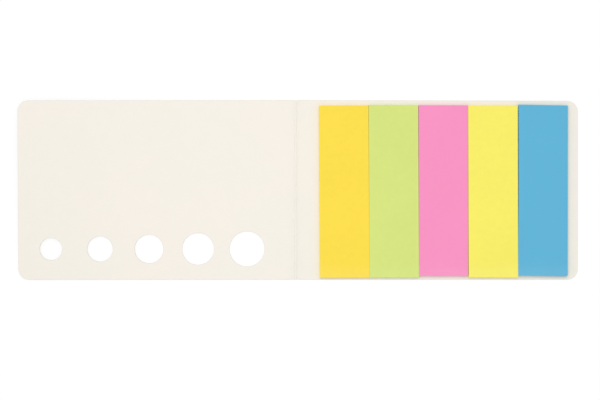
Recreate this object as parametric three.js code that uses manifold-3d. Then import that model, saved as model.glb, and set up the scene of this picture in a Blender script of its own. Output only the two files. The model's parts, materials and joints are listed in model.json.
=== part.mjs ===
// A booklet of sticky page markers, lying open on a table with its inside up.
// A card cover is creased twice down its middle, which leaves a narrow spine between a front and a back panel.
// Five pads of coloured strips are stuck side by side on the back panel.
// When the cover is folded shut, each pad shows through its own round window in the front panel.
//
// Millimetres. +X runs to the right across the open booklet, +Y towards its upper edge, +Z up from the table.
// The origin is on the table under the back crease, which runs along the middle of the open cover.

import * as THREE from "three";
import Module from "manifold-3d";
import { mergeVertices } from "three/addons/utils/BufferGeometryUtils.js";

const wasm = await Module();
wasm.setup();

// Pads of page markers
const padWidth = 14.81;
const padLength = 51.55;
const sheetThickness = 0.085;
const sheetsPerPad = 12;
const padStack = sheetThickness * sheetsPerPad;
const curlRise = 0.18; // how far the free lower end of a pad's top sheets lifts
const curlLength = 4; // how much of the pad that lift takes up
const padGap = 0.012; // clear space where two pads come closest

// The row of pads. Each is turned by its tilt, its ends are out of square by its slope,
// it is cut shorter than padLength by its trim, and it is stuck higher than the middle by its shift.
const padRow = [
  { name: "pad_orange", color: 0xfee04c, tiltDegrees: 0.36, slopeDegrees: -0.2, trim: 0, shiftUp: -0.21 },
  { name: "pad_green", color: 0xd9e782, tiltDegrees: 0.29, slopeDegrees: -0.3, trim: 0, shiftUp: -0.03 },
  { name: "pad_pink", color: 0xfa94c3, tiltDegrees: 0.16, slopeDegrees: -0.4, trim: 0.45, shiftUp: 0.14 },
  { name: "pad_yellow", color: 0xfcf16a, tiltDegrees: 0.18, slopeDegrees: -0.4, trim: 0.3, shiftUp: -0.09 },
  { name: "pad_blue", color: 0x62b7d9, tiltDegrees: -0.06, slopeDegrees: -1, trim: 0.4, shiftUp: 0.15 },
];

// Card cover, around the pads
const cardThickness = 0.4;
const padInset = 6.5; // back crease to the first pad
const outerMargin = 3.15; // last pad to the cover's outer edge
const upperMargin = 1.5; // upper ends of the pads to the cover's upper edge
const lowerMargin = 0.8; // lower ends of the pads to the cover's lower edge
const upperFall = 0.22; // how much lower the cover's upper edge is cut at its corners than at its creases
const frontShort = 0.2; // how much narrower the front panel is than the back panel less the spine
const spineClearance = 0.1; // room above the pads under the closed front panel
const cornerRadius = 3.2;
const scoreWidth = 0.3; // scored groove along each crease, in the inner surface
const scoreDepth = 0.1;
const frontLift = 1.2; // how far the middle of the front panel's free edge bows up off the table
const frontTwist = 0.9; // how much more its upper corner lifts, and how much less its lower one

// Round windows in the front panel, one over each pad when the cover is shut
const smallestWindow = 6.7; // diameter of the window that is furthest from the creases
const windowStep = 0.95; // how much each next window is wider
const windowHeight = 9.2; // window centres above the cover's lower edge
const windowPitchLess = 0.19; // how much closer together the windows are than the pads
const windowOffset = -0.35; // middle window against the middle of the pads, outwards positive

// Fineness of the round shapes
const cornerSegments = 12;
const windowSegments = 72;
const bowSegments = 30;
const twistSegments = 6;
const curlSegments = 10;

// Room around the cuts
const cardSpare = 4; // how far the uncut card reaches past the front panel's outline
const cutMargin = 1; // how far a cut reaches above and below the bent card
const weldDistance = 1e-4; // corners closer than this are one corner

const radians = THREE.MathUtils.degToRad;

// Places each pad's centre so that tilted neighbours keep padGap where they come closest.
function padCentres() {
  const centres = [padInset + padWidth / 2];
  for (let i = 1; i < padRow.length; i++) {
    const tilt = radians(padRow[i].tiltDegrees);
    const tiltBefore = radians(padRow[i - 1].tiltDegrees);
    const widths = (padWidth / Math.cos(tilt) + padWidth / Math.cos(tiltBefore)) / 2;
    const spread = (padLength / 2) * Math.abs(Math.tan(tilt) - Math.tan(tiltBefore));
    centres.push(centres[i - 1] + widths + spread + padGap);
  }
  return centres;
}

const centres = padCentres();
const coverHeight = padLength + upperMargin + lowerMargin;
const backWidth = centres.at(-1) + padWidth / 2 + outerMargin;
const spineWidth = padStack + curlRise + spineClearance;
const frontWidth = backWidth - spineWidth - frontShort;
const padsMiddleX = (centres[0] + centres.at(-1)) / 2;
const padsMiddleY = (lowerMargin - upperMargin) / 2;
const padPitch = (centres.at(-1) - centres[0]) / (padRow.length - 1);

// A closed three.js geometry as a solid that can be joined and cut.
function solidOf(geometry) {
  const bare = geometry.clone();
  bare.deleteAttribute("normal");
  bare.deleteAttribute("uv");
  const merged = mergeVertices(bare, weldDistance);
  return new wasm.Manifold(
    new wasm.Mesh({
      numProp: 3,
      vertProperties: merged.attributes.position.array,
      triVerts: new Uint32Array(merged.index.array),
    }),
  );
}

function geometryOf(solid) {
  const { vertProperties, triVerts } = solid.getMesh();
  const geometry = new THREE.BufferGeometry();
  geometry.setAttribute("position", new THREE.BufferAttribute(vertProperties, 3));
  geometry.setIndex(new THREE.BufferAttribute(triVerts, 1));
  const flat = geometry.toNonIndexed();
  flat.computeVertexNormals();
  return flat;
}

// The plan of a panel whose straight side lies on x = 0 and whose two free corners are round.
// The corners stand back from the crease's two ends by lowFall and highFall.
function panelOutline(width, lowFall, highFall) {
  const low = lowFall - coverHeight / 2;
  const high = coverHeight / 2 - highFall;
  const r = cornerRadius;
  const outline = new THREE.Shape();
  outline.moveTo(0, low - lowFall);
  outline.lineTo(width - r, low);
  outline.absarc(width - r, low + r, r, -Math.PI / 2, 0);
  outline.absarc(width - r, high - r, r, 0, Math.PI / 2);
  outline.lineTo(0, high + highFall);
  return outline;
}

function extruded(outline, depth, segments) {
  return new THREE.ExtrudeGeometry(outline, { depth, bevelEnabled: false, curveSegments: segments });
}

// A V-shaped groove for a crease on x = 0. It reaches past the card above and at both ends.
function scoreSolid() {
  const length = coverHeight + 2 * cutMargin;
  const section = new THREE.Shape();
  section.moveTo(0, cardThickness - scoreDepth);
  section.lineTo(scoreWidth, cardThickness + scoreDepth);
  section.lineTo(-scoreWidth, cardThickness + scoreDepth);
  return solidOf(extruded(section, length, 1).rotateX(Math.PI / 2).translate(0, length / 2, 0));
}

// An outline drawn in Y and Z, extruded along X.
function extrudedAlongX(outline, depth) {
  const yAxis = new THREE.Vector3(0, 1, 0);
  const zAxis = new THREE.Vector3(0, 0, 1);
  const xAxis = new THREE.Vector3(1, 0, 0);
  return extruded(outline, depth, 1).applyMatrix4(new THREE.Matrix4().makeBasis(yAxis, zAxis, xAxis));
}

// Height of the front panel's underside above the table. The front crease lies on x = 0.
function frontHeight(x, y) {
  const lift = frontLift + (frontTwist * y) / (coverHeight / 2);
  return lift * (x / frontWidth) ** 2;
}

// The bent card that the front panel is cut from.
function bentCard() {
  const width = frontWidth + 2 * cardSpare;
  const height = coverHeight + 2 * cardSpare;
  const card = new THREE.BoxGeometry(width, height, cardThickness, bowSegments, twistSegments, 1);
  card.translate(-frontWidth / 2, 0, cardThickness / 2);
  const position = card.attributes.position;
  for (let i = 0; i < position.count; i++) {
    const rise = frontHeight(position.getX(i), position.getY(i));
    position.setZ(i, position.getZ(i) + rise);
  }
  return solidOf(card);
}

// Window centres by their distance from the front crease, the widest window first.
function windows() {
  const pitch = padPitch - windowPitchLess;
  const middle = (padRow.length - 1) / 2;
  return padRow.map((_, i) => ({
    distance: padsMiddleX + windowOffset + (i - middle) * pitch,
    diameter: smallestWindow + windowStep * (padRow.length - 1 - i),
  }));
}

function frontCoverGeometry() {
  const highest = frontLift + frontTwist + cardThickness;
  const cutDepth = highest + 2 * cutMargin;
  const prism = extruded(panelOutline(frontWidth, upperFall, 0), cutDepth, cornerSegments)
    .rotateZ(Math.PI)
    .translate(0, 0, -cutMargin);
  let panel = bentCard().intersect(solidOf(prism)).subtract(scoreSolid());
  for (const { distance, diameter } of windows()) {
    const punch = new THREE.CylinderGeometry(diameter / 2, diameter / 2, cutDepth, windowSegments)
      .rotateX(Math.PI / 2)
      .translate(-distance, windowHeight - coverHeight / 2, highest / 2);
    panel = panel.subtract(solidOf(punch));
  }
  return geometryOf(panel);
}

// The strip between the creases. The back crease lies on x = 0.
function spineGeometry() {
  const strip = new THREE.BoxGeometry(spineWidth, coverHeight, cardThickness);
  strip.translate(-spineWidth / 2, 0, cardThickness / 2);
  const score = scoreSolid();
  return geometryOf(solidOf(strip).subtract(score).subtract(score.translate(-spineWidth, 0, 0)));
}

function backCoverGeometry() {
  const panel = solidOf(extruded(panelOutline(backWidth, 0, upperFall), cardThickness, cornerSegments));
  return geometryOf(panel.subtract(scoreSolid()));
}

// A pad standing on z = 0 with its middle at x = y = 0. Its section is flat, and curls up at the lower end.
function padGeometry(trim, slopeDegrees) {
  const low = (trim - padLength) / 2;
  const high = (padLength - trim) / 2;
  const section = new THREE.Shape();
  section.moveTo(low, 0);
  section.lineTo(high, 0);
  section.lineTo(high, padStack);
  for (let i = 0; i <= curlSegments; i++) {
    const share = i / curlSegments;
    section.lineTo(low + curlLength * (1 - share), padStack + curlRise * share ** 2);
  }
  const outOfSquare = new THREE.Matrix4().makeShear(Math.tan(radians(slopeDegrees)), 0, 0, 0, 0, 0);
  return extrudedAlongX(section, padWidth).translate(-padWidth / 2, 0, 0).applyMatrix4(outOfSquare);
}

function cardMaterial() {
  return new THREE.MeshStandardMaterial({ color: 0xf6f1e6, roughness: 0.85, metalness: 0 });
}

function paperMaterial(color) {
  return new THREE.MeshStandardMaterial({ color, roughness: 0.9, metalness: 0 });
}

function named(name, geometry, material) {
  const mesh = new THREE.Mesh(geometry, material);
  mesh.name = name;
  return mesh;
}

function coverGroup() {
  const front = named("front_cover", frontCoverGeometry(), cardMaterial());
  front.position.x = -spineWidth;
  const spine = named("spine", spineGeometry(), cardMaterial());
  const back = named("back_cover", backCoverGeometry(), cardMaterial());
  return new THREE.Group().add(front, spine, back);
}

function padGroup() {
  const group = new THREE.Group();
  group.position.set(0, padsMiddleY, cardThickness);
  padRow.forEach(({ name, color, tiltDegrees, slopeDegrees, trim, shiftUp }, i) => {
    const pad = named(name, padGeometry(trim, slopeDegrees), paperMaterial(color));
    pad.position.set(centres[i], shiftUp, 0);
    pad.rotation.z = radians(tiltDegrees);
    group.add(pad);
  });
  return group;
}

const booklet = new THREE.Group().add(coverGroup(), padGroup());

export default booklet;
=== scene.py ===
# A booklet of sticky page markers, lying open on a white table and seen from straight above.
# Metres. +X runs to the right across the open booklet, +Y towards its upper edge,
# +Z up from the table. The origin is on the table under the back crease.

import json
import math
import random

import bmesh
import bpy
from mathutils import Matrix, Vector


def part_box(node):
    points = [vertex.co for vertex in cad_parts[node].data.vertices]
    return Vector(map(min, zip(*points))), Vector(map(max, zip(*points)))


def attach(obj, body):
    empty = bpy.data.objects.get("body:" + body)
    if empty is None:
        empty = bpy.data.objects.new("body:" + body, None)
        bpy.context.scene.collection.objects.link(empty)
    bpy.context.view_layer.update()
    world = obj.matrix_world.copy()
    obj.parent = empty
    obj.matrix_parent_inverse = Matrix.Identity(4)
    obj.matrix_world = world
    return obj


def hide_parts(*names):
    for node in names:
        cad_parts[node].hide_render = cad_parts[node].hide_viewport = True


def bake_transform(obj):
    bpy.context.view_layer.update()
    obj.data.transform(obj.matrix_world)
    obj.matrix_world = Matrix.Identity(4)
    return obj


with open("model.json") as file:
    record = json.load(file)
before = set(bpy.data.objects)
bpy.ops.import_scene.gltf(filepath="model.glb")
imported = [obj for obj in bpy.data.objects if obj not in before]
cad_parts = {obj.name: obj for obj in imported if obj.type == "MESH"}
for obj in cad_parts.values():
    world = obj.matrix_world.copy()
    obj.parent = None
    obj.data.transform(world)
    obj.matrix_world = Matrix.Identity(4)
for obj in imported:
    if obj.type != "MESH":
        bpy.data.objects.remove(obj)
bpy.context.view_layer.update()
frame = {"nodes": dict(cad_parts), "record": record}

MM = 0.001

# Card cover, where the solids have it
front_lowest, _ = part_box("front_cover")
spine_lowest, spine_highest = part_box("spine")
_, back_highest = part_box("back_cover")
FRONT_EDGE = front_lowest.x
FRONT_CREASE = spine_lowest.x
BACK_CREASE = spine_highest.x
BACK_EDGE = back_highest.x
HALF_HEIGHT = back_highest.y
CARD = back_highest.z  # its thickness

# Card cover, cut and bent as the solids are
CORNER_RADIUS = 3.2 * MM
UPPER_FALL = 0.22 * MM  # how much lower the upper edge is cut at its corners
FRONT_LIFT = 1.2 * MM  # how far the middle of the front panel's free edge bows up
FRONT_TWIST = 0.9 * MM  # how much more its upper corner lifts, and how much less its lower one
WIDEST_WINDOW = 10.5 * MM
WINDOW_STEP = 0.95 * MM

# Card cover, finer than the solids
EDGE_ROUND = 0.06 * MM  # radius that the die leaves on a cut edge
ROUND_STEPS = 3
CORNER_STEPS = 16
WINDOW_POINTS = 120
BOW_CUTS = 40
TWIST_CUTS = 8
ON_PLANE = 1e-7  # a point nearer than this to a cut lies on it

# Scored creases
FOLD_REACH = 0.32 * MM  # how far each side of a crease bends
SCORE_WIDTH = 0.13 * MM
SCORE_DEPTHS = {"back": 0.1 * MM, "front": 0.05 * MM}
SCORE_WANDER = 0.2  # share of the depth that comes and goes along the crease
SCORE_WAVES = (3.1 * MM, 1.3 * MM)
FOLD_STEPS = 20
FOLD_STATIONS = 48
SPINE_STEPS = 4

# Pads of paper strips
SHEETS = 12
CURL_RISE = 0.18 * MM  # how far the free lower end of the top sheet lifts
CURL_LENGTH = 4 * MM
CURL_GATHER = 1.6  # above 1, the lift is left more to the upper sheets
WAVE_RISE = 0.035 * MM  # slight unevenness of the top sheet
WAVE_ALONG = 7.5 * MM
WAVE_ACROSS = 4 * MM
SHEET_AIR = 0.004 * MM
SIDE_JITTER = 0.005 * MM
END_JITTER = 0.08 * MM

# What sets single pads apart: the radius of a worn lower right corner, how much lower the sheets
# reach than the solid, and how far a side is cut back, at even steps from its lower end up
WORN_CORNERS = {"blue": 0.6 * MM}
LOWER_REACHES = {"green": 0.1 * MM, "yellow": 0.2 * MM}
UNCUT = [0, 0]
LEFT_CUTS = {"blue": [0, 0.02 * MM, 0.13 * MM, 0.11 * MM, 0.1 * MM]}
RIGHT_CUTS = {"pink": [0.13 * MM, 0.07 * MM, 0.06 * MM, 0.04 * MM, 0.03 * MM]}

# Net of points in a sheet
SIDE_STEPS = [0, 0.15 * MM, 0.35 * MM, 0.6 * MM, 1.2 * MM]  # columns near each side
COLUMNS = 6
ROWS = 44
ROW_CROWDING = 1.5  # above 1, the rows crowd towards the lower end

# Colours as they show in soft white light, as sRGB bytes
CARD_WARM = (249, 242, 232)
CARD_COOL = (247, 243, 232)
CARD_CUT = (228, 219, 203)
PADS = {
    "orange": (255, 225, 76),
    "green": (217, 232, 130),
    "pink": (252, 150, 198),
    "yellow": (253, 242, 106),
    "blue": (99, 184, 220),
}
WHITE = (1, 1, 1, 1)

# Patterns of the card. Tones are the factors that a pattern spreads over.
CARD_CLOUDS = {"size": 32 * MM, "detail": 2}
CARD_PATCHES = {"size": 3.8 * MM}
CARD_PATCH_TONES = (0.994, 1.004)
CARD_FIBRES = {"size": 0.7 * MM, "detail": 4, "stretch": (1, 2.5, 1)}
CARD_FIBRE_TONES = (0.99, 1.007)
CARD_LAYERS = {"size": 1.1 * MM, "stretch": (1, 1, 14)}
CARD_LAYER_TONES = (0.88, 1.06)
CARD_GRAIN = {"size": 0.31 * MM, "detail": 4}
CARD_FIBRE_HEIGHT = 1.6  # against the grain's
CARD_BUMP = {"strength": 0.5, "distance": 0.012 * MM}
CARD_ROUGHNESS = (0.78, 0.9)
# Painted shade: a fine darker line along the back crease, where shade falls in the fold.
CREASE_PAINTED_SHADE = {"width": 0.22 * MM, "shade": 0.012}
# Painted shade: a wide shallow darkening over the spine, where its hollow lies in shade.
SPINE_PAINTED_SHADE = {"width": 1.9 * MM, "shade": 0.012}

# Patterns of the paper
PAPER_FORMATION = {"size": 1.9 * MM, "detail": 4}
PAPER_FORMATION_TONES = (0.985, 1.01)
PAPER_FIBRES = {"size": 0.53 * MM, "detail": 4, "stretch": (2.2, 1, 1)}
PAPER_FIBRE_TONES = (0.988, 1.01)
PAPER_DRIFT = {"size": 18 * MM, "detail": 2}
PAPER_DRIFT_TONES = (0.985, 1.012)
PAPER_FUZZ = {"size": 0.38 * MM, "stretch": (1, 1, 0.2)}
PAPER_FUZZ_TONES = (0.8, 1.05)
PAPER_GRAIN = {"size": 0.28 * MM}
PAPER_BUMP = {"strength": 0.4, "distance": 0.01 * MM}
PAPER_ROUGHNESS = (0.8, 0.92)
# Painted light: near its free lower end, a pad's colour is mixed towards white, as if the curled
# end caught more light.
FREE_END_PAINTED_LIGHT = {"width": 3 * MM, "painted_light": 0.03}

SPECULAR_LEVEL = 0.25
NOISE_RANGE = (0.3, 0.7)  # where nearly all of a noise texture's values lie

# Photograph, 600 pixels wide, seen from straight above
VIEW_WIDTH = 180 * MM
VIEW_CENTRE = (0.65 * MM, -3.04 * MM)
CAMERA_HEIGHT = 450 * MM  # above the card
SENSOR_WIDTH = 36.0
CLIP_START = 10 * MM

# Light: a white tent, a far soft box above the upper edge and a near one right over the booklet
TENT_LEVEL = 0.7
SOFT_BOXES = {
    "key": {"place": (-0.02, 0.36, 0.71), "size": 0.4, "watts": 1.03},
    "fill": {"place": (-0.01, 0.0, 0.2), "size": 0.2, "watts": 0.079},
}

# Floor: as the camera sees it, glow and reflected light come to white outside the shadow.
# The glow grows with the distance from the origin, because the lamps give less light there.
FLOOR_SIZE = 6.0
FLOOR_WHITE = 0.8
SEEN_WHITE = 0.22
GLOW_DISTANCES = (0.08, 0.6)
GLOWS = (0.8, 0.9)


def linear(rgb):
    """An sRGB colour in bytes as the linear colour that a shader takes."""
    shares = [channel / 255 for channel in rgb]
    return [s / 12.92 if s <= 0.04045 else ((s + 0.055) / 1.055) ** 2.4 for s in shares]


class Nodes:
    """Adds nodes to a shader tree. Inputs take numbers, colours or other nodes' outputs."""

    def __init__(self, tree):
        self.tree = tree

    def set(self, socket, value):
        if isinstance(value, bpy.types.NodeSocket):
            self.tree.links.new(value, socket)
        else:
            socket.default_value = value

    def add(self, kind, inputs, **settings):
        """A new node's outputs. inputs holds a value for each name or number of a socket."""
        node = self.tree.nodes.new(f"ShaderNode{kind}")
        for name, value in settings.items():
            setattr(node, name, value)
        for key, value in inputs.items():
            self.set(node.inputs[key], value)
        return node.outputs

    def math(self, operation, first, second=0.0):
        return self.add("Math", {0: first, 1: second}, operation=operation)[0]

    def product(self, first, *others):
        for other in others:
            first = self.math("MULTIPLY", first, other)
        return first

    def map_range(self, value, old, new):
        """A value from one range moved to another, and kept inside it."""
        limits = {"From Min": old[0], "From Max": old[1], "To Min": new[0], "To Max": new[1]}
        return self.add("MapRange", {"Value": value, **limits})["Result"]

    def diffuse(self, white):
        return self.add("BsdfDiffuse", {"Color": (white, white, white, 1)})[0]

    def seen_or_reflected(self):
        """1 for a ray that shows the surroundings to the camera, directly or in gloss or glass."""
        path = self.add("LightPath", {})
        total = path["Is Camera Ray"]
        for name in ("Is Glossy Ray", "Is Transmission Ray"):
            total = self.math("MAXIMUM", total, path[name])
        return total


class Shading(Nodes):
    """Builds one material, in which every pattern follows the surface at rest."""

    def __init__(self, name):
        self.material = bpy.data.materials.new(name)
        self.material.use_nodes = True
        super().__init__(self.material.node_tree)
        self.shader = self.tree.nodes["Principled BSDF"]
        self.shader.inputs["Specular IOR Level"].default_value = SPECULAR_LEVEL
        self.rest = self.add("Attribute", {}, attribute_name="rest")["Vector"]
        self.cut_edge = self.add("Attribute", {}, attribute_name="cut_edge")["Fac"]

    def along(self, axis):
        return self.add("SeparateXYZ", {0: self.rest})[axis]

    def noise(self, size, detail=3.0, stretch=(1, 1, 1)):
        """Soft noise in patches of about the given size. stretch makes it finer along an axis."""
        place = self.add("VectorMath", {0: self.rest, 1: stretch}, operation="MULTIPLY")[0]
        texture = {"Vector": place, "Scale": 1 / size, "Detail": detail}
        return self.add("TexNoise", texture)["Fac"]

    def spread(self, noise, low, high):
        return self.map_range(noise, NOISE_RANGE, (low, high))

    def mix(self, share, first, second):
        colours = {"Factor": share, "A": first, "B": second}
        return self.add("Mix", colours, data_type="RGBA")["Result"]

    def scaled(self, colour, factor):
        return self.add("VectorMath", {0: colour, "Scale": factor}, operation="SCALE")[0]

    def bell(self, value, centre, width):
        """1 where value is at the centre, falling to 0 over a few widths."""
        off = self.math("DIVIDE", self.math("SUBTRACT", value, centre), width)
        return self.math("EXPONENT", self.product(off, off, -1.0))

    def surface(self, colour, roughness, height, bump):
        """The material, once its shader has its colour and roughness and a bump from a height."""
        relief = {"Strength": bump["strength"], "Distance": bump["distance"], "Height": height}
        self.set(self.shader.inputs["Base Color"], colour)
        self.set(self.shader.inputs["Roughness"], roughness)
        self.set(self.shader.inputs["Normal"], self.add("Bump", relief)["Normal"])
        return self.material


def card_material():
    """Uncoated cream card, faintly clouded, with pulled fibres, and painted shade in the scored
    back crease and over the spine.
    """
    card = Shading("cover_card")
    fibres = card.noise(**CARD_FIBRES)
    patches = card.noise(**CARD_PATCHES)
    clouds = card.spread(card.noise(**CARD_CLOUDS), 0, 1)
    face = card.mix(clouds, [*linear(CARD_WARM), 1], [*linear(CARD_COOL), 1])
    x = card.along("X")
    # Painted shade along the back crease.
    line = card.product(card.bell(x, BACK_CREASE, CREASE_PAINTED_SHADE["width"]), CREASE_PAINTED_SHADE["shade"])
    spine_middle = (BACK_CREASE + FRONT_CREASE) / 2
    # Painted shade over the hollow of the spine.
    spine_shade = card.product(card.bell(x, spine_middle, SPINE_PAINTED_SHADE["width"]), SPINE_PAINTED_SHADE["shade"])
    tone = card.product(
        card.spread(fibres, *CARD_FIBRE_TONES),
        card.spread(patches, *CARD_PATCH_TONES),
        card.math("SUBTRACT", 1.0, card.math("ADD", line, spine_shade)),
    )
    layers = card.spread(card.noise(**CARD_LAYERS), *CARD_LAYER_TONES)
    cut = card.scaled(linear(CARD_CUT), layers)
    return card.surface(
        colour=card.mix(card.cut_edge, card.scaled(face, tone), cut),
        roughness=card.spread(patches, *CARD_ROUGHNESS),
        height=card.math("ADD", card.noise(**CARD_GRAIN), card.product(fibres, CARD_FIBRE_HEIGHT)),
        bump=CARD_BUMP,
    )


def paper_material(name, rgb, free_end):
    """Dyed wood-free paper: fine formation clouds, short fibres, painted light that whitens the
    free end, and cut edges.
    """
    paper = Shading(name)
    formation = paper.noise(**PAPER_FORMATION)
    tone = paper.product(
        paper.spread(formation, *PAPER_FORMATION_TONES),
        paper.spread(paper.noise(**PAPER_FIBRES), *PAPER_FIBRE_TONES),
        paper.spread(paper.noise(**PAPER_DRIFT), *PAPER_DRIFT_TONES),
    )
    # Painted light: the colour is mixed towards white near the free lower end.
    near_end = paper.bell(paper.along("Y"), free_end, FREE_END_PAINTED_LIGHT["width"])
    painted_light = paper.product(near_end, FREE_END_PAINTED_LIGHT["painted_light"])
    face = paper.mix(painted_light, paper.scaled(linear(rgb), tone), WHITE)
    fuzz = paper.spread(paper.noise(**PAPER_FUZZ), *PAPER_FUZZ_TONES)
    return paper.surface(
        colour=paper.mix(paper.cut_edge, face, paper.scaled(linear(rgb), fuzz)),
        roughness=paper.spread(formation, *PAPER_ROUGHNESS),
        height=paper.math("ADD", formation, paper.noise(**PAPER_GRAIN)),
        bump=PAPER_BUMP,
    )


def new_mesh():
    """An empty mesh, and the layer that marks the faces of its cut edges."""
    bm = bmesh.new()
    return bm, bm.faces.layers.float.new("cut_edge")


def as_piece(bm, name, material):
    """Turns a mesh into a piece, and keeps each point's place at rest for the patterns."""
    mesh = bpy.data.meshes.new(name)
    bmesh.ops.recalc_face_normals(bm, faces=bm.faces)
    bm.to_mesh(mesh)
    bm.free()
    rest = mesh.attributes.new("rest", "FLOAT_VECTOR", "POINT")
    for vertex in mesh.vertices:
        rest.data[vertex.index].vector = vertex.co
    mesh.materials.append(material)
    piece = bpy.data.objects.new(name, mesh)
    bpy.context.scene.collection.objects.link(piece)
    return piece


def arc(centre_x, centre_y, radius, start, end, steps):
    """Points on an arc, from one angle in degrees to another, both included."""
    angles = [math.radians(start + (end - start) * i / steps) for i in range(steps + 1)]
    return [(centre_x + radius * math.cos(a), centre_y + radius * math.sin(a)) for a in angles]


def edge_round():
    """How far a die-cut edge stands back, and at which height, up to where it is upright."""
    angles = [math.radians(90 * i / ROUND_STEPS) for i in range(ROUND_STEPS + 1)]
    return [(EDGE_ROUND * (1 - math.sin(a)), EDGE_ROUND * (1 - math.cos(a))) for a in angles]


def edge_section():
    """The same through the whole thickness of the card."""
    lower = edge_round()
    return lower + [(inset, CARD - height) for inset, height in reversed(lower)]


def panel_outline(crease_x, free_x):
    """The plan of a panel with two round free corners, as a function of how far it is taken in."""
    side = math.copysign(1, free_x - crease_x)
    centre_x = free_x - side * CORNER_RADIUS
    centre_y = HALF_HEIGHT - CORNER_RADIUS
    middle = 0 if side > 0 else 180

    def outline_at(inset):
        high = HALF_HEIGHT - inset
        radius = CORNER_RADIUS - inset
        lower = arc(centre_x, -centre_y, radius, middle - 90 * side, middle, CORNER_STEPS)
        upper_y = centre_y - UPPER_FALL
        upper = arc(centre_x, upper_y, radius, middle, middle + 90 * side, CORNER_STEPS)
        return [(crease_x, -high), *lower, *upper, (crease_x, high)]

    return outline_at


def window_outline(x, y, radius):
    """The plan of a window, as a function of how far its edge stands back."""
    last_angle = 360 - 360 / WINDOW_POINTS
    return lambda inset: arc(x, y, radius + inset, 0, last_angle, WINDOW_POINTS - 1)


def closed_walls(bm, outline_at, cut_edge):
    """Walls of card round one outline. Gives the lowest and the highest ring of edges."""
    rings = []
    for inset, height in edge_section():
        rings.append([bm.verts.new((x, y, height)) for x, y in outline_at(inset)])
    for below, above in zip(rings, rings[1:]):
        for i in range(len(below)):
            face = bm.faces.new((below[i - 1], below[i], above[i], above[i - 1]))
            face[cut_edge] = 1.0
            face.smooth = True
    ends = []
    for ring in (rings[0], rings[-1]):
        ends.append([bm.edges.get((ring[i - 1], ring[i])) for i in range(len(ring))])
    return ends


def cut_across(bm, low, high, cuts, normal):
    """Cuts the whole mesh with evenly spaced planes, so that it can bend."""
    for i in range(1, cuts):
        place = Vector(normal) * (low + (high - low) * i / cuts)
        everything = [*bm.verts, *bm.edges, *bm.faces]
        bmesh.ops.bisect_plane(bm, geom=everything, plane_co=place, plane_no=normal, dist=ON_PLANE)


def panel(name, material, crease_x, free_x, windows, rise_at):
    """One panel of the cover: a sheet of card with die-cut windows and edges."""
    bm, cut_edge = new_mesh()
    outlines = [panel_outline(crease_x, free_x), *[window_outline(*window) for window in windows]]
    walls = [closed_walls(bm, outline_at, cut_edge) for outline_at in outlines]
    for rings in zip(*walls):
        edges = [edge for ring in rings for edge in ring]
        bmesh.ops.triangle_fill(bm, edges=edges, use_beauty=True, use_dissolve=False)
    cut_across(bm, crease_x, free_x, BOW_CUTS, (1, 0, 0))
    cut_across(bm, -HALF_HEIGHT, HALF_HEIGHT, TWIST_CUTS, (0, 1, 0))
    for vertex in bm.verts:
        vertex.co.z += rise_at(vertex.co.x, vertex.co.y)
    return as_piece(bm, name, material)


def strip(name, material, left, right, score_at, steps):
    """A narrow strip of card between two panels, scored where it folds."""
    bm, cut_edge = new_mesh()
    lower = [(inset - HALF_HEIGHT, height) for inset, height in reversed(edge_round())]
    upper = [(-y, height) for y, height in reversed(lower)]
    step = 2 * HALF_HEIGHT / FOLD_STATIONS
    inner = [(-HALF_HEIGHT + step * i, 0.0) for i in range(1, FOLD_STATIONS)]
    xs = [left + (right - left) * i / steps for i in range(steps + 1)]
    rings = []
    for y, inset in lower + inner + upper:
        under = [bm.verts.new((x, y, inset)) for x in xs]
        over = [bm.verts.new((x, y, CARD - inset - score_at(x, y))) for x in reversed(xs)]
        rings.append(under + over)
    for before, after in zip(rings, rings[1:]):
        for i in range(len(before)):
            face = bm.faces.new((before[i - 1], before[i], after[i], after[i - 1]))
            face.smooth = True
    for ring in (rings[0], rings[-1]):
        bm.faces.new(ring)[cut_edge] = 1.0
    return as_piece(bm, name, material)


def level(x, y):
    """For card that lies flat, or isn't scored."""
    return 0.0


def front_rise(x, y):
    """How far the bent front panel stands off the table."""
    lift = FRONT_LIFT + FRONT_TWIST * y / HALF_HEIGHT
    return lift * ((x - FRONT_CREASE) / (FRONT_EDGE - FRONT_CREASE)) ** 2


def score(crease_x, depth):
    """A scored line: a fine groove that wanders a little in depth along the crease."""
    long_wave, short_wave = SCORE_WAVES

    def score_at(x, y):
        wander = SCORE_WANDER * math.sin(y / long_wave) * math.cos(y / short_wave)
        along = 1 - SCORE_WANDER + wander
        return depth * along * math.exp(-(((x - crease_x) / SCORE_WIDTH) ** 2))

    return score_at


def window_places():
    """Centre and radius of each window, the widest first."""
    places = []
    for i, opening in enumerate(frame["record"]["physics"]["openings"]):
        low, high = opening["box_m"]
        radius = (WIDEST_WINDOW - i * WINDOW_STEP) / 2
        places.append(((low[0] + high[0]) / 2, (low[1] + high[1]) / 2, radius))
    return places


def build_cover(material):
    """The card cover: two panels and the spine, joined by a scored strip at each crease, where the
    card folds.
    """
    front_start = FRONT_CREASE - FOLD_REACH
    spine_start = FRONT_CREASE + FOLD_REACH
    spine_end = BACK_CREASE - FOLD_REACH
    back_start = BACK_CREASE + FOLD_REACH
    front = panel("front_card", material, front_start, FRONT_EDGE, window_places(), front_rise)
    back = panel("back_card", material, back_start, BACK_EDGE, [], level)
    spine = strip("spine_card", material, spine_start, spine_end, level, SPINE_STEPS)
    for piece, node, body in (
        (front, "front_cover", "front"),
        (back, "back_cover", "back"),
        (spine, "spine", "spine"),
    ):
        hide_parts(node)
        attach(piece, body)
    for name, crease_x, left_body, right_body in (
        ("front", FRONT_CREASE, "front", "spine"),
        ("back", BACK_CREASE, "spine", "back"),
    ):
        left = crease_x - FOLD_REACH
        right = crease_x + FOLD_REACH
        groove = score(crease_x, SCORE_DEPTHS[name])
        fold = strip(f"{name}_fold", material, left, right, groove, FOLD_STEPS)
        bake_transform(fold)


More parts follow.
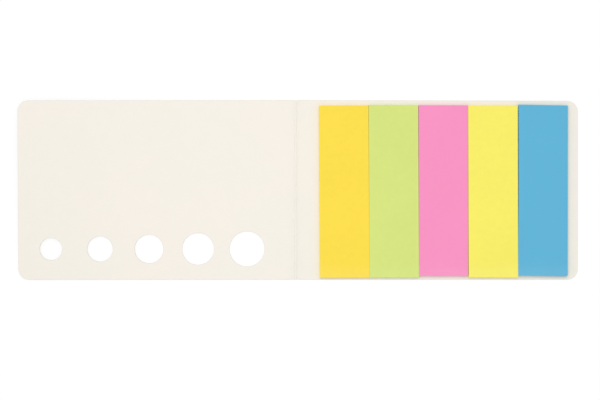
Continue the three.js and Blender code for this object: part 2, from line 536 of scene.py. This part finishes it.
def off_worn_corner(from_right, from_bottom, radius):
    """Moves a place in a pad's lower right corner so that the corner becomes round."""
    if from_right >= radius or from_bottom >= radius:
        return from_right, from_bottom
    reach = Vector((radius - from_right, radius - from_bottom))
    reach *= max(reach) / reach.length
    return radius - reach.x, radius - reach.y


def cut_back(cuts, up):
    """How far a side is cut back at a share of the pad's length, from evenly spaced cuts."""
    place = up * (len(cuts) - 1)
    i = min(int(place), len(cuts) - 2)
    return cuts[i] + (cuts[i + 1] - cuts[i]) * (place - i)


class PadPlan:
    """The plan of a pad as its solid has it, and where it differs from a clean four-sided cut."""

    def __init__(self, colour_name, node):
        corners = [vertex.co.to_2d() for vertex in frame["nodes"][node].data.vertices]
        self.lower_left = min(corners, key=lambda p: p.x + p.y)
        self.lower_right = max(corners, key=lambda p: p.x - p.y)
        self.upper_left = min(corners, key=lambda p: p.x - p.y)
        self.upper_right = max(corners, key=lambda p: p.x + p.y)
        self.width = (self.lower_right - self.lower_left).length
        self.length = (self.upper_left - self.lower_left).length
        self.worn = WORN_CORNERS.get(colour_name, 0)
        self.reach = LOWER_REACHES.get(colour_name, 0)
        self.left_cuts = LEFT_CUTS.get(colour_name, UNCUT)
        self.right_cuts = RIGHT_CUTS.get(colour_name, UNCUT)

    def point(self, across, up, trims):
        """A point for two shares from 0 to 1, on a sheet with these trims on its four sides."""
        left, right, bottom, top = trims
        from_right, from_bottom = off_worn_corner(
            (1 - across) * self.width, up * self.length, self.worn
        )
        first = (left + cut_back(self.left_cuts, up)) / self.width
        last = 1 - (right + cut_back(self.right_cuts, up)) / self.width
        u = first + (last - first) * (1 - from_right / self.width)
        lowest = (bottom - self.reach) / self.length
        highest = 1 - top / self.length
        v = lowest + (highest - lowest) * from_bottom / self.length
        lower = self.lower_left.lerp(self.lower_right, u)
        return lower.lerp(self.upper_left.lerp(self.upper_right, u), v)


def column_shares(width):
    """Shares of a pad's width, closer together along both sides."""
    left = [step / width for step in SIDE_STEPS]
    inner = [left[-1] + (1 - 2 * left[-1]) * i / COLUMNS for i in range(1, COLUMNS)]
    return [*left, *inner, *[1 - share for share in reversed(left)]]


def sheet_rise(share_up, along, across, phase):
    """How far a sheet stands off its flat stack: a lifted lower end and a slight wave."""
    curl = CURL_RISE * max(0.0, 1 - along / CURL_LENGTH) ** 2
    long_wave = math.sin(along / WAVE_ALONG + phase)
    cross_wave = math.cos(across / WAVE_ACROSS + 2 * phase) / 2
    wave = WAVE_RISE * (1 / 2 + 0.33 * (long_wave + cross_wave))
    return share_up**CURL_GATHER * curl + share_up * wave


def sheet_net(plan, trims, share_up, phase):
    """Points over one sheet, row by row from its lower end, each with its rise as the height."""
    net = []
    for i in range(ROWS + 1):
        up = (i / ROWS) ** ROW_CROWDING
        row = []
        for across in column_shares(plan.width):
            rise = sheet_rise(share_up, up * plan.length, across * plan.width, phase)
            row.append((*plan.point(across, up, trims), rise))
        net.append(row)
    return net


def add_sheet(bm, cut_edge, net, z, thickness):
    """One strip of paper as a thin closed sheet over a net of points."""
    under, over = (
        [[bm.verts.new((x, y, height + rise)) for x, y, rise in row] for row in net]
        for height in (z, z + thickness)
    )
    last = len(net[0]) - 1
    for j in range(ROWS):
        for i in range(last):
            for layer in (under, over):
                corners = (layer[j][i], layer[j][i + 1], layer[j + 1][i + 1], layer[j + 1][i])
                bm.faces.new(corners).smooth = True
    rim = [(0, i) for i in range(last)] + [(j, last) for j in range(ROWS)]
    rim += [(ROWS, i) for i in range(last, 0, -1)] + [(j, 0) for j in range(ROWS, 0, -1)]
    for (j, i), (next_j, next_i) in zip(rim, rim[1:] + rim[:1]):
        corners = (under[j][i], under[next_j][next_i], over[next_j][next_i], over[j][i])
        wall = bm.faces.new(corners)
        wall[cut_edge] = 1.0
        for edge in wall.edges:
            edge.smooth = False


def build_pad(colour_name, rgb, seed):
    """A glued stack of paper strips, each cut a hair differently from the next."""
    node = f"pad_{colour_name}"
    plan = PadPlan(colour_name, node)
    low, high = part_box(node)
    pitch = (high.z - low.z - CURL_RISE) / SHEETS
    rng = random.Random(seed)
    phase = rng.uniform(0, 2 * math.pi)
    bm, cut_edge = new_mesh()
    for k in range(SHEETS):
        limits = (SIDE_JITTER, SIDE_JITTER, END_JITTER, END_JITTER / 2)
        trims = [rng.uniform(0, limit) for limit in limits]
        net = sheet_net(plan, trims, k / (SHEETS - 1), phase)
        add_sheet(bm, cut_edge, net, low.z + k * pitch, pitch - SHEET_AIR)
    material = paper_material(f"{colour_name}_paper", rgb, low.y)
    pad = as_piece(bm, f"{colour_name}_sheets", material)
    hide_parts(node)
    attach(pad, "back")


def build_floor():
    """A white table. The camera sees it glow, so that only a soft shadow shows on it."""
    bpy.ops.mesh.primitive_plane_add(size=FLOOR_SIZE)
    floor = bpy.context.active_object
    floor.name = "floor"
    material = bpy.data.materials.new("floor")
    material.use_nodes = True
    material.node_tree.nodes.clear()
    nodes = Nodes(material.node_tree)
    place = nodes.add("TexCoord", {})["Object"]
    distance = nodes.add("VectorMath", {0: place}, operation="LENGTH")["Value"]
    strength = nodes.map_range(distance, GLOW_DISTANCES, GLOWS)
    glow = nodes.add("Emission", {"Color": WHITE, "Strength": strength})[0]
    seen = nodes.add("AddShader", {0: nodes.diffuse(SEEN_WHITE), 1: glow})[0]
    choice = {"Fac": nodes.seen_or_reflected(), 1: nodes.diffuse(FLOOR_WHITE), 2: seen}
    nodes.add("OutputMaterial", {"Surface": nodes.add("MixShader", choice)[0]})
    floor.data.materials.append(material)


def build_tent():
    """Even white light from all around, which shows as plain white itself."""
    world = bpy.data.worlds.new("studio")
    bpy.context.scene.world = world
    world.use_nodes = True
    nodes = Nodes(world.node_tree)
    background = world.node_tree.nodes["Background"]
    nodes.set(background.inputs["Color"], WHITE)
    strength = nodes.map_range(nodes.seen_or_reflected(), (0, 1), (TENT_LEVEL, 1))
    nodes.set(background.inputs["Strength"], strength)


def soft_box(name, place, size, watts):
    """A square lamp that faces the origin and stays out of the picture itself."""
    lamp = bpy.data.lights.new(name, "AREA")
    lamp.shape = "SQUARE"
    lamp.size = size
    lamp.energy = watts
    holder = bpy.data.objects.new(name, lamp)
    holder.location = place
    holder.rotation_euler = (-Vector(place)).to_track_quat("-Z", "Y").to_euler()
    holder.visible_camera = False
    bpy.context.scene.collection.objects.link(holder)


def build_camera():
    """A camera that looks straight down, framed as the photograph is."""
    data = bpy.data.cameras.new("camera")
    data.sensor_width = SENSOR_WIDTH
    data.lens = SENSOR_WIDTH * CAMERA_HEIGHT / VIEW_WIDTH
    data.clip_start = CLIP_START
    camera = bpy.data.objects.new("camera", data)
    camera.location = (*VIEW_CENTRE, CARD + CAMERA_HEIGHT)
    bpy.context.scene.collection.objects.link(camera)
    bpy.context.scene.camera = camera


build_cover(card_material())
for seed, (colour_name, rgb) in enumerate(PADS.items()):
    build_pad(colour_name, rgb, seed)

build_floor()
build_tent()
for name, lamp in SOFT_BOXES.items():
    soft_box(name, **lamp)
build_camera()
bpy.context.scene.view_settings.view_transform = "Standard"
